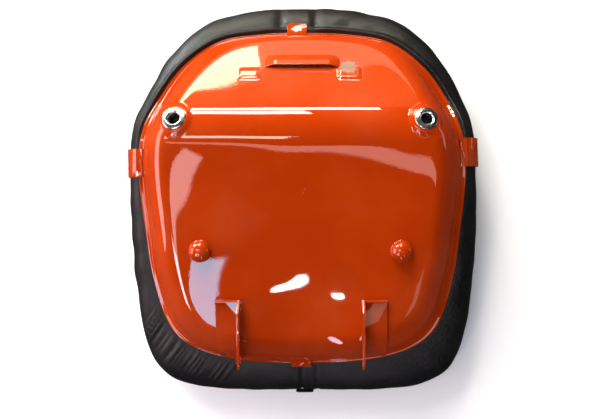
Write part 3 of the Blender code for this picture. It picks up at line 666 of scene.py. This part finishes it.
# A rolled bright flange round a short barrel, clinched over its washer: a closed profile round the axis.
def makeEyelet(word, place):
    hole, flange = panSheet["eyeletHole"] / 2, panSheet["eyeletFlange"] / 2
    gap, barrel = eyeletRing["gap"], panSheet["eyeletHole"] / 2 + eyeletRing["barrelWall"]
    foot = -eyeletRing["dish"] - gap - eyeletRing["washer"] - gap
    rimRound, ease = eyeletRing["rimRound"], eyeletRing["throatEase"]
    t = np.linspace(0, 1, 15)
    quarter = t * math.pi / 2
    roll = np.column_stack(
        [flange - rimRound + rimRound * np.sin(quarter), 0.0004 + rimRound * np.cos(quarter)]
    )
    rise = 0.0015 * np.sin(np.minimum(t * 2.6, 1) * math.pi / 2)
    fall = 0.0008 * np.maximum(t - 0.4, 0) / 0.6
    crown = np.column_stack([hole + ease + (flange - rimRound - hole - ease) * t, 0.0009 + rise - fall])
    throat = [(hole, 0.0004), (hole, foot * 0.5), (hole, foot - 0.0008)]
    clinch = [(hole + 0.0012, foot - 0.0010), (barrel + 0.0016, foot - 0.0006), (barrel + 0.0016, foot),
              (barrel, foot), (barrel, gap), (flange - 0.0004, gap)]
    profile = np.vstack([throat, clinch, roll[::-1][:10], crown[::-1]])
    piece = turned(word + "EyeletRing", profile, place, eyeletRing["steps"], brightPlate, True)
    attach(piece, "root")
    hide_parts(word + "_eyelet")


restStud = {
    "radius": 0.01225, "height": 0.0135, "side": 0.004, "spacing": 0.2321, "fromFront": 0.1400,
    "lift": 0.0006, "skirt": 0.0009, "skirtHeight": 0.0012, "steps": 96,
}


# A pressed dome: a short straight side with a soft shoulder, a nearly round crown and a small weld skirt.
def makeStud(word, side):
    x, y = side * restStud["spacing"] / 2, seat["panFront"] + restStud["fromFront"]
    place = frameOn(panTree, x, y, restStud["radius"])
    a = np.radians(np.linspace(90, 0, 30))
    radius, height, shoulder, lift = (restStud[key] for key in ("radius", "height", "side", "lift"))
    skirtWidth, skirtHeight = restStud["skirt"], restStud["skirtHeight"]
    dome = np.column_stack([radius * np.cos(a) ** 0.8, lift + shoulder + (height - shoulder) * np.sin(a)])
    b = np.radians(np.linspace(0, 90, 8))
    skirt = np.column_stack(
        [radius + skirtWidth * (1 - np.cos(b)), lift + skirtHeight - skirtHeight * np.sin(b)]
    )
    foot = [(radius + skirtWidth, 0.0001), (0, 0.0001)]
    profile = np.vstack([[(0, height + lift)], dome[1:], skirt, foot])
    piece = turned(word + "RestStud", profile, place, restStud["steps"], partPaint, False)
    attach(piece, "root")
    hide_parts(word + "_rest_stud")


for side, word in ((-1, "left"), (1, "right")):
    makeEyelet(word, eyeletPlaces[word])
    makeStud(word, side)


# A bent or cut steel piece of the frame with its edges rounded by the press and the paint.
def rounded(node, name, width, segments, material):
    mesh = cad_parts[node].data.copy()
    bm = bmesh.new()
    bm.from_mesh(mesh)
    bmesh.ops.remove_doubles(bm, verts=bm.verts, dist=1e-5)
    bmesh.ops.dissolve_limit(bm, angle_limit=math.radians(2), verts=bm.verts, edges=bm.edges)
    bm.to_mesh(mesh)
    bm.free()
    mesh.materials.clear()
    mesh.materials.append(material)
    mesh.shade_smooth()
    piece = bpy.data.objects.new(name, mesh)
    bpy.context.scene.collection.objects.link(piece)
    soften = piece.modifiers.new("edges", "BEVEL")
    soften.width, soften.segments, soften.limit_method = width, segments, "ANGLE"
    soften.angle_limit, soften.harden_normals = math.radians(38), True
    soften.use_clamp_overlap = True
    applied(piece)
    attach(piece, "root")
    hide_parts(node)
    return piece


for word in ("left", "right"):
    rounded(word + "_hinge_bracket", word + "HingeBracket", 0.0005, 3, partPaint)
for word in ("left", "right", "rear", "front"):
    rounded(word + "_retaining_tab", word + "RetainingTab", 0.0004, 3, partPaint)
print("fittings ready")

# The black border:
borderRoll = {
    "steps": 32, "arc": 61, "hemRise": 0.0048, "hemOut": 0.0048, "hemWidth": 0.0026,
    "wrinkle": 0.0013, "wrinkleLength": 0.034,
    "gatherFrom": (-0.172, -0.135), "gatherTo": (-0.088, -0.196), "gathers": 15, "gatherDepth": 0.0042,
    "seams": (-0.0025, 0.0155), "seamWidth": 0.0016, "seamDepth": 0.0024,
    "dimples": (-0.0285, 0.0140), "dimpleWidth": 0.006, "dimpleDepth": 0.0030,
    "sideTab": (0.2, 0.049), "sideTabReach": (0.03, 0.024), "endTab": -0.006, "endTabReach": 0.017,
}


# The border's section is carried round the seat: it tucks under the pan's lip, swells out over a half ellipse
# that reaches the roll's outline, and tucks in again under the cushion. Gathers, seams and dimples then move
# each point along the section's own outward direction.
def makeRoll():
    outer, lipLine = rollCurve(borderRoll["steps"]), lipCurve(borderRoll["steps"])
    into, out = inward(lipLine), outer - lipLine
    reach = np.linalg.norm(out, axis=1)
    out = out / reach[:, None]
    rim = rimHeight(lipLine[:, 1])
    under, depth, inset = seat["underLip"], seat["rollDepth"], seat["rollInset"]
    half = (depth - under) / 2
    a = np.radians(90 - 180 * np.linspace(0, 1, borderRoll["arc"]) ** 1.25)
    tuck = [(-inset, under + 0.006), (-inset + 0.0006, under + 0.003), (-inset + 0.003, under + 0.0008),
            (-inset + 0.006, under), (-0.004, under)]
    tail = [(-0.005, depth - 0.0025), (-0.010, depth - 0.0075), (-inset, depth - 0.013),
            (-inset, depth * 0.5)]
    loops, turns = [], []
    for run, down in tuck:
        loops.append((lipLine - into * run, rim - down))
        turns.append(np.pi / 2)
    for angle in a:
        plane = lipLine + out * (reach * math.cos(angle))[:, None]
        loops.append((plane, rim - under - half * (1 - math.sin(angle))))
        turns.append(angle)
    for run, down in tail:
        loops.append((lipLine - into * run, rim - down))
        turns.append(-np.pi / 2)
    rings = np.array([np.column_stack([plane, height]) for plane, height in loops])
    turns = np.array(turns)[:, None]
    first, last = len(tuck), len(tuck) + len(a)
    onArc = np.zeros((len(rings), 1))
    onArc[first:last, 0] = np.clip((90 - np.abs(np.degrees(a))) / 18, 0, 1)
    run = np.concatenate([[0], np.cumsum(np.linalg.norm(np.diff(outer, axis=0), axis=1))])[None, :]
    total = run[0, -1] + np.linalg.norm(outer[0] - outer[-1])
    angle = run / total * math.tau
    waves = ripples(np.cos(angle) * total / math.tau, np.sin(angle) * total / math.tau + turns * 0.02,
                    borderRoll["wrinkleLength"], 3)
    move = waves * borderRoll["wrinkle"]
    x, y = rings[..., 0], rings[..., 1]
    start, end = np.array(borderRoll["gatherFrom"]), np.array(borderRoll["gatherTo"])
    alongGather = ((rings[..., :2] - start) @ (end - start)) / ((end - start) @ (end - start))
    near = 1 - smooth((np.abs(alongGather - 0.5) - 0.5) / 0.18)
    near = near * (1 - smooth((np.abs((rings[..., :2] - start) @ np.array((0.55, 0.83))) - 0.03) / 0.03))
    topSide = smooth((turns - 0.25) / 0.8)
    jitter = 1.3 * np.sin(alongGather * 11) + 0.8 * np.sin(alongGather * 27)
    uneven = alongGather * math.pi * borderRoll["gathers"] + jitter
    fold = (np.abs(np.sin(uneven)) ** 0.6 - 0.6) * (0.75 + 0.4 * np.sin(alongGather * 19 + 1))
    move += near * topSide * fold * borderRoll["gatherDepth"]
    atFront = y < seat["panFront"]
    for seam in borderRoll["seams"]:
        move -= atFront * borderRoll["seamDepth"] * np.exp(-(((x - seam) / borderRoll["seamWidth"]) ** 2))
    atBack = y > seat["panBack"] - 0.01
    for dimple in borderRoll["dimples"]:
        pinch = np.exp(-(((x - dimple) / borderRoll["dimpleWidth"]) ** 2)) * smooth(turns / 0.8)
        move -= atBack * borderRoll["dimpleDepth"] * pinch
    (tabX, tabY), (reachX, reachY) = borderRoll["sideTab"], borderRoll["sideTabReach"]
    nearTab = np.exp(-((np.abs(x) - tabX) / reachX) ** 2) * np.exp(-((y - tabY) / reachY) ** 2)
    move = np.where(move > 0, move * (1 - nearTab), move) - nearTab * 0.0004
    nearEnds = np.exp(-((x - borderRoll["endTab"]) / borderRoll["endTabReach"]) ** 2)
    nearEnds = nearEnds * (np.abs(y) > 0.19) * smooth((turns - 0.6) / 0.5)
    move = np.minimum(move, move * (1 - nearEnds))
    outward = np.cos(turns)[..., None] * np.concatenate([out, np.zeros((len(out), 1))], 1)[None]
    outward = outward + np.sin(turns)[..., None] * (0, 0, 1)
    fromLip = np.where(np.cos(turns) > 0, np.cos(turns) * reach, 0)
    hem = np.exp(-(((fromLip - borderRoll["hemOut"]) / borderRoll["hemWidth"]) ** 2)) * smooth(turns * 2)
    hem = hem * smooth((y - 0.045) / 0.06) * (1 - nearEnds) * smooth((reach - 0.012) / 0.01)
    rings = rings + (move * onArc)[..., None] * outward
    rings[..., 2] += hem * borderRoll["hemRise"]
    rings[..., 2] = np.maximum(rings[..., 2], 0)
    faces = gridFaces(rings.shape[0], rings.shape[1], True, True)
    roll = solidFrom("borderRoll", rings.reshape(-1, 3), [faces], rollVinyl)
    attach(roll, "root")
    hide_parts("edge_roll")


makeRoll()

seamTab = {"rows": 40, "columns": 72, "stitches": 5}


# The doubled end of the border's seam: a pillow with square-ish corners, pressed in along two stitch lines.
def makeSeamTab():
    low, high = (np.array(corner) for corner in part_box("seam_tab"))
    middle, size = (low + high) / 2, (high - low) / 2
    u = np.linspace(-math.pi / 2, math.pi / 2, seamTab["rows"])[:, None]
    w = (np.arange(seamTab["columns"]) * math.tau / seamTab["columns"])[None, :]

    def squared(value, power):
        return np.sign(value) * np.abs(value) ** power

    x = squared(np.cos(u), 0.35) * squared(np.cos(w), 0.35)
    z = squared(np.cos(u), 0.35) * squared(np.sin(w), 0.35)
    y = squared(np.sin(u), 0.6) * np.ones_like(w)
    stitchLine = np.exp(-(((np.abs(z) - 0.62) / 0.10) ** 2))
    y = y * (1 - 0.35 * stitchLine * (0.6 + 0.4 * np.cos(x * math.pi * seamTab["stitches"] * 2)))
    points = middle + np.stack([x, y, z], -1) * size
    faces = gridFaces(seamTab["rows"], seamTab["columns"], False, True)
    tab = solidFrom("borderSeamTab", points.reshape(-1, 3), [faces], rollVinyl, merge=1e-6)
    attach(tab, "root")
    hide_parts("seam_tab")


makeSeamTab()

welt = {
    "radius": 0.0025, "inset": 0.0116, "depth": 0.0561, "floor": 0.0028,
    "steps": 48, "sides": 12, "stitch": 0.006,
}


# Piping: a round section carried along its path, drawn in a little at every stitch.
def makeWelt():
    line = lipCurve(welt["steps"])
    into = inward(line)
    path = line + into * welt["inset"]
    height = np.maximum(rimHeight(line[:, 1]) - welt["depth"], welt["floor"])
    run = np.concatenate([[0], np.cumsum(np.linalg.norm(np.diff(path, axis=0), axis=1))])
    turn = (np.arange(welt["sides"]) * math.tau / welt["sides"])[:, None]
    radius = welt["radius"] * (1 - 0.10 * np.abs(np.cos(run * math.pi / welt["stitch"])) ** 8)
    side, up = radius * np.cos(turn), radius * np.sin(turn)
    plane = path[None] + into[None] * side[..., None]
    points = np.concatenate([plane, (height + up)[..., None]], -1)
    faces = gridFaces(welt["sides"], len(path), True, True)
    piece = solidFrom("weltCord", points.reshape(-1, 3), [faces], weltVinyl)
    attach(piece, "root")
    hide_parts("welt_piping")


makeWelt()
print("border ready")

# The padding:
cushion = {
    "steps": 6, "rings": 16, "gap": 0.0003, "voxel": 0.005, "shrink": 0.002, "pressure": 4.0, "frames": 20,
    "cap": 0.010, "belowPan": 0.0085, "channelDepth": 0.0055, "channelWidth": 0.006,
}


# A closed pad under the pan: its top follows the pan, its face dips from the border's seam to a fixed depth
# below the pan. The other part of the seat is folded flat onto the plane where the two pads meet.
def makePad(name, keepFront, channels, covers):
    line = lipCurve(cushion["steps"])
    edge = line + inward(line) * (seat["rollInset"] + 0.0007 + cushion["shrink"])
    rim = rimHeight(line[:, 1])
    limit = bendY - cushion["gap"] if keepFront else bendY + cushion["gap"]
    tops, faces = [], []
    for share in np.linspace(0, 1, cushion["rings"]):
        plane = edge + ((0, panMiddle) - edge) * share
        hits = panHeights(plane)
        face = rim - seat["rollDepth"] + 0.0115
        face = face + (crest + spine(plane[:, 1]) - seat["faceDepth"] - face) * smooth(share / 0.4)
        y = np.minimum(plane[:, 1], limit) if keepFront else np.maximum(plane[:, 1], limit)
        shift = spine(y) - spine(plane[:, 1])
        tops.append(np.column_stack([plane[:, 0], y, hits - cushion["belowPan"] + shift]))
        faces.append(np.column_stack([plane[:, 0], y, face + cushion["shrink"] + shift]))
    top, face = np.array(tops), np.array(faces)
    rows, columns = top.shape[:2]
    count = rows * columns
    ring = np.arange(columns)
    wall = np.stack([ring, np.roll(ring, -1), np.roll(ring, -1) + count, ring + count], -1)
    points = np.vstack([top.reshape(-1, 3), face.reshape(-1, 3)])
    sides = [gridFaces(rows, columns, False, True), gridFaces(rows, columns, False, True, count), wall]
    pad = solidFrom(name, points, sides, coverVinyl, merge=1e-5)
    remesh = pad.modifiers.new("even", "REMESH")
    remesh.mode, remesh.voxel_size = "VOXEL", cushion["voxel"]
    applied(pad)
    rest = pointsOf(pad)
    puff(pad)
    moved = pointsOf(pad) - rest
    outward = np.zeros(len(rest) * 3)
    pad.data.vertex_normals.foreach_get("vector", outward)
    down = smooth((-outward.reshape(-1, 3)[:, 2] - 0.15) / 0.4)[:, None]
    length = np.maximum(np.linalg.norm(moved, axis=1), 1e-9)[:, None]
    moved = moved / length * np.minimum(length, cushion["cap"]) * down
    pad.data.vertices.foreach_set("co", (rest + moved).ravel())
    finer = pad.modifiers.new("finer", "SUBSURF")
    finer.levels = finer.render_levels = 1
    applied(pad)
    sewChannels(pad, channels)
    pad.data.materials.clear()
    pad.data.materials.append(coverVinyl)
    pad.data.shade_smooth()
    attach(pad, "root")
    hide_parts(*covers)
    print(name, "has", len(pad.data.polygons), "faces")


def panHeights(plane):
    hits = [panTree.ray_cast(Vector((x, y, 1)), Vector((0, 0, -1)))[0] for x, y in plane.tolist()]
    guess = rimHeight(plane[:, 1])
    return np.array([hit.z if hit else g for hit, g in zip(hits, guess)])


def pointsOf(piece):
    points = np.zeros(len(piece.data.vertices) * 3)
    piece.data.vertices.foreach_get("co", points)
    return points.reshape(-1, 3)


def puff(pad):
    scene = bpy.context.scene
    cloth = pad.modifiers.new("stuffing", "CLOTH")
    settings = cloth.settings
    settings.use_pressure, settings.uniform_pressure_force = True, cushion["pressure"]
    settings.effector_weights.gravity = 0
    settings.quality, settings.mass = 5, 0.3
    settings.tension_stiffness = settings.compression_stiffness = settings.shear_stiffness = 15
    cloth.point_cache.frame_start, cloth.point_cache.frame_end = 1, cushion["frames"]
    for step in range(1, cushion["frames"] + 1):
        scene.frame_set(step)
        bpy.context.view_layer.update()
    applied(pad)
    scene.frame_set(1)


# Sewn channels draw the face up towards the foam: depth falls off with distance from the stitch line as a
# rounded valley, and each stitch pulls a little deeper than the cloth between.
def sewChannels(pad, channels):
    points = pointsOf(pad)
    outward = np.zeros(len(points) * 3)
    pad.data.vertex_normals.foreach_get("vector", outward)
    face = smooth((-outward.reshape(-1, 3)[:, 2] - 0.25) / 0.4)
    for bow, y in channels:
        line = y + bow * points[:, 0] ** 2
        away = np.abs(points[:, 1] - line) / cushion["channelWidth"]
        valley = np.exp(-(away**1.5))
        stitch = 1 + 0.06 * np.cos(points[:, 0] * math.tau / 0.007)
        points[:, 2] += face * valley * stitch * cushion["channelDepth"]
    pad.data.vertices.foreach_set("co", points.ravel())
    pad.data.update()


makePad("seatCushion", True, [(0.9, -0.125), (0.9, -0.070), (0.9, -0.015)], ["seat_cover", "seat_foam"])
makePad("backCushion", False, [(-0.9, 0.135)], ["back_cover", "back_foam"])

# Floor, light and camera:
studio = {
    "floor": (0.90, 0.91, 0.93, 1), "floorHeight": -0.0006, "floorReach": 60.0,
    "fill": 0.42, "horizon": 0.05, "zenith": 0.010,
    "key": ((-1.0, 2.1, 1.65), 1.4, 84.0, (1.0, 0.96, 0.90)),
}
# Each card is a soft light: place, what it faces, width, height, power, color, whether gloss shows it, turn.
cards = {
    "rearWall": ((-0.33, 2.6, 0.31), (0, 0, 0.1), 1.75, 0.50, 6.4, (1.0, 0.64, 0.42), True, 0),
    "rearUpper": ((-0.33, 2.6, 0.80), (0, 0, 0.1), 1.75, 0.44, 1.6, (1.0, 0.50, 0.26), True, 0),
    "window": ((-0.68, 2.25, 0.47), (-0.10, 0.15, 0.1), 0.84, 0.20, 10, (1.0, 0.82, 0.54), True, 0),
    "corner": ((-1.7, 1.9, 0.45), (-0.1, 0.1, 0.1), 0.9, 0.7, 85, (0.90, 1.0, 0.97), True, 0),
    "stripLow": ((-0.20, 2.2, 1.04), (-0.05, 0.1, 0.14), 0.74, 0.18, 16, (1.0, 0.92, 0.74), True, 0),
    "stripHigh": ((-0.36, 2.2, 1.46), (-0.05, 0.1, 0.14), 0.50, 0.34, 17, (1.0, 0.92, 0.74), True, 0),
    "ledge": ((-0.10, -0.60, 2.6), (0, 0.06, 0.14), 2.0, 0.10, 2.2, (1.0, 0.62, 0.52), True, -3),
    "overhead": ((-0.68, 0.04, 2.3), (-0.19, 0.05, 0.08), 0.20, 1.1, 7, (1.0, 0.93, 0.78), True, -7),
    "leftLip": ((-0.76, -0.97, 2.3), (-0.19, -0.05, 0.06), 0.11, 0.9, 1.7, (1.0, 0.72, 0.68), True, 0),
    "leftWall": ((-2.2, 0.0, 0.8), (0, 0, 0.1), 1.6, 1.2, 34, (1.0, 0.74, 0.74), True, 0),
    "rightWall": ((2.2, 0.4, 0.5), (0, 0, 0.1), 0.8, 0.5, 2.2, (1.0, 0.80, 0.72), True, 0),
    "lampWide": (
        (-0.090, -0.776, 1.57), (-0.02, -0.10, 0.12), 0.056, 0.026, 0.40, (1.0, 0.97, 0.93), True, 38
    ),
    "lampTail": (
        (-0.126, -0.795, 1.57), (-0.02, -0.10, 0.12), 0.090, 0.020, 0.40, (1.0, 0.97, 0.93), True, 20
    ),
    "spark": ((0.036, -0.803, 1.56), (0.04, -0.11, 0.12), 0.044, 0.011, 0.12, (1.0, 0.97, 0.93), True, 0),
    "lilac": ((-0.41, -0.92, 1.52), (-0.11, -0.12, 0.12), 0.13, 0.50, 2.2, (0.27, 0.62, 0.86), True, 7),
    "pale": ((-0.75, -0.88, 1.50), (-0.14, -0.10, 0.12), 0.14, 0.50, 4.2, (1.0, 0.74, 0.80), True, 7),
    "streak": ((0.055, -0.95, 0.62), (0.045, -0.165, 0.10), 0.034, 0.72, 0.8, (0.80, 0.66, 0.84), True, 5),
    "dun": ((0.47, -0.95, 1.52), (0.11, -0.12, 0.12), 0.16, 0.40, 0.32, (0.60, 0.62, 0.50), True, 6),
}


def addCard(name, place, facing, width, height, power, color, glossy, spin):
    light = bpy.data.lights.new(name, "AREA")
    light.shape, light.size, light.size_y = "ELLIPSE" if width < 0.1 else "RECTANGLE", width, height
    light.energy, light.color = power, color
    card = bpy.data.objects.new(name, light)
    bpy.context.scene.collection.objects.link(card)
    card.location = place
    aim = (Vector(facing) - Vector(place)).to_track_quat("-Z", "Y").to_matrix()
    card.rotation_euler = (aim @ Matrix.Rotation(math.radians(spin), 3, "Z")).to_euler()
    card.visible_glossy = glossy
    card.visible_camera = False


def makeStudio():
    mesh = bpy.data.meshes.new("floor")
    far = studio["floorReach"]
    corners = [(x * far, y * far, studio["floorHeight"]) for x, y in ((-1, -1), (1, -1), (1, 1), (-1, 1))]
    mesh.from_pydata(corners, [], [(0, 1, 2, 3)])
    look, tree, shader, position = newMaterial("paleFloor", Roughness=0.6)
    tone = noise(tree, position, 3.0, 2.0)
    shade = tuple(0.97 * c for c in studio["floor"])
    tree.links.new(blendColor(tree, tone, studio["floor"], shade), shader.inputs["Base Color"])
    mesh.materials.append(look)
    floor = bpy.data.objects.new("floor", mesh)
    bpy.context.scene.collection.objects.link(floor)
    floor.visible_glossy = False
    place, size, power, color = studio["key"]
    addCard("key", place, (0, 0, 0), size, size, power, color, False, 0)
    for name, values in cards.items():
        addCard(name, *values)
    world = bpy.data.worlds.new("studio")
    bpy.context.scene.world = world
    world.use_nodes = True
    tree = world.node_tree
    background, output = tree.nodes["Background"], tree.nodes["World Output"]
    background.inputs["Color"].default_value = (0.86, 0.93, 1.0, 1)
    background.inputs["Strength"].default_value = studio["fill"]
    mirror = addNode(tree, "ShaderNodeBackground")
    sky = addNode(tree, "ShaderNodeSeparateXYZ")
    tree.links.new(addNode(tree, "ShaderNodeTexCoord").outputs["Generated"], sky.inputs[0])
    glow = remap(tree, sky.outputs["Z"], 0.05, 0.5, studio["horizon"], studio["zenith"])
    tree.links.new(glow, mirror.inputs["Strength"])
    pick = addNode(tree, "ShaderNodeMixShader")
    path = addNode(tree, "ShaderNodeLightPath")
    tree.links.new(path.outputs["Is Glossy Ray"], pick.inputs["Fac"])
    tree.links.new(background.outputs[0], pick.inputs[1])
    tree.links.new(mirror.outputs[0], pick.inputs[2])
    backdrop = addNode(tree, "ShaderNodeBackground")
    backdrop.inputs["Color"].default_value = (0.93, 0.94, 0.96, 1)
    seen = addNode(tree, "ShaderNodeMixShader")
    tree.links.new(path.outputs["Is Camera Ray"], seen.inputs["Fac"])
    tree.links.new(pick.outputs[0], seen.inputs[1])
    tree.links.new(backdrop.outputs[0], seen.inputs[2])
    tree.links.new(seen.outputs[0], output.inputs["Surface"])


view = {"place": (0.05, -0.01, 1.10), "lens": 50.72, "shift": (-0.0712, -0.0019)}


def makeCamera():
    lens = bpy.data.cameras.new("camera")
    lens.sensor_width, lens.lens = 36, view["lens"]
    lens.shift_x, lens.shift_y = view["shift"]
    camera = bpy.data.objects.new("camera", lens)
    bpy.context.scene.collection.objects.link(camera)
    camera.location = view["place"]
    bpy.context.scene.camera = camera


makeStudio()
makeCamera()
bpy.context.scene.view_settings.view_transform = "Standard"
